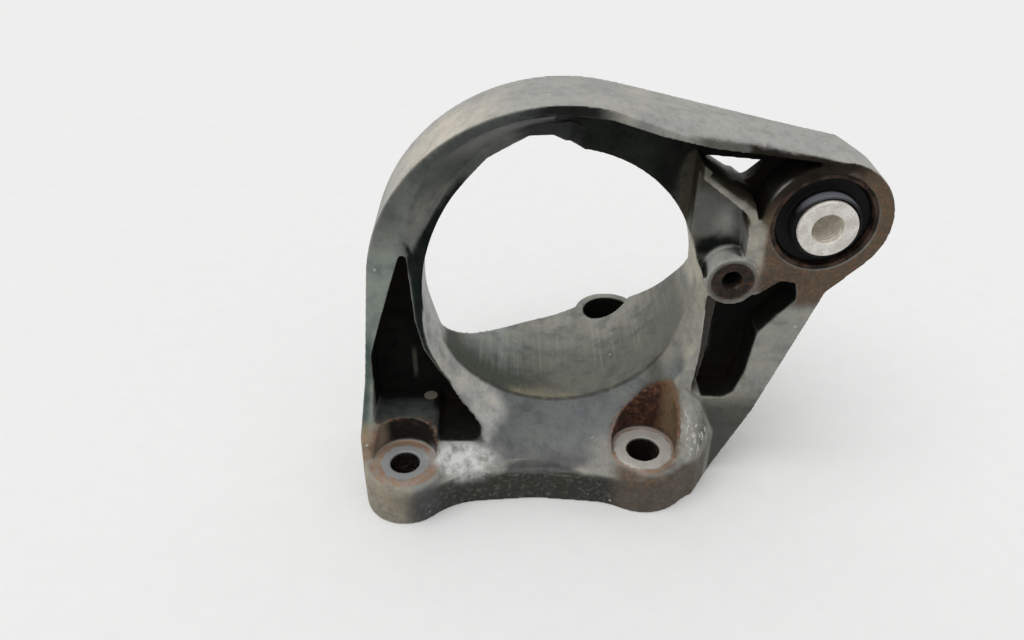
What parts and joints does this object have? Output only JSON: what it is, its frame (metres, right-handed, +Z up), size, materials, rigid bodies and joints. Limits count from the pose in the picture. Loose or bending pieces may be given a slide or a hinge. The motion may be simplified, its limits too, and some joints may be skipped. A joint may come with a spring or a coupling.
{
  "type": "driveshaft support bracket",
  "caption": "Die-cast driveshaft support bracket: bolt-down foot, half-pipe cradle, open arched frame, threaded boss and bonded rubber bush.",
  "frame": {"origin": "on the foot's flat underside, below the cradle's axis, in the frame's front plane", "axes": "+Z up from the mounting face, +Y back along the cradle's axis, +X to the bush side"},
  "size_m": [0.1839, 0.11, 0.1518],
  "materials": {
    "casting": "weathered die casting, matt grey with road dirt and rust-coloured stains",
    "shell": "thin pressed steel, brown with rust",
    "rubber": "matt black moulded rubber",
    "sleeve": "turned aluminium, face dulled and speckled"
  },
  "bodies": {
    "root": {"bracket_casting": "casting", "bush_outer_sleeve": "shell", "bush_rubber": "rubber", "bush_inner_sleeve": "sleeve"}
  },
  "joints": []
}
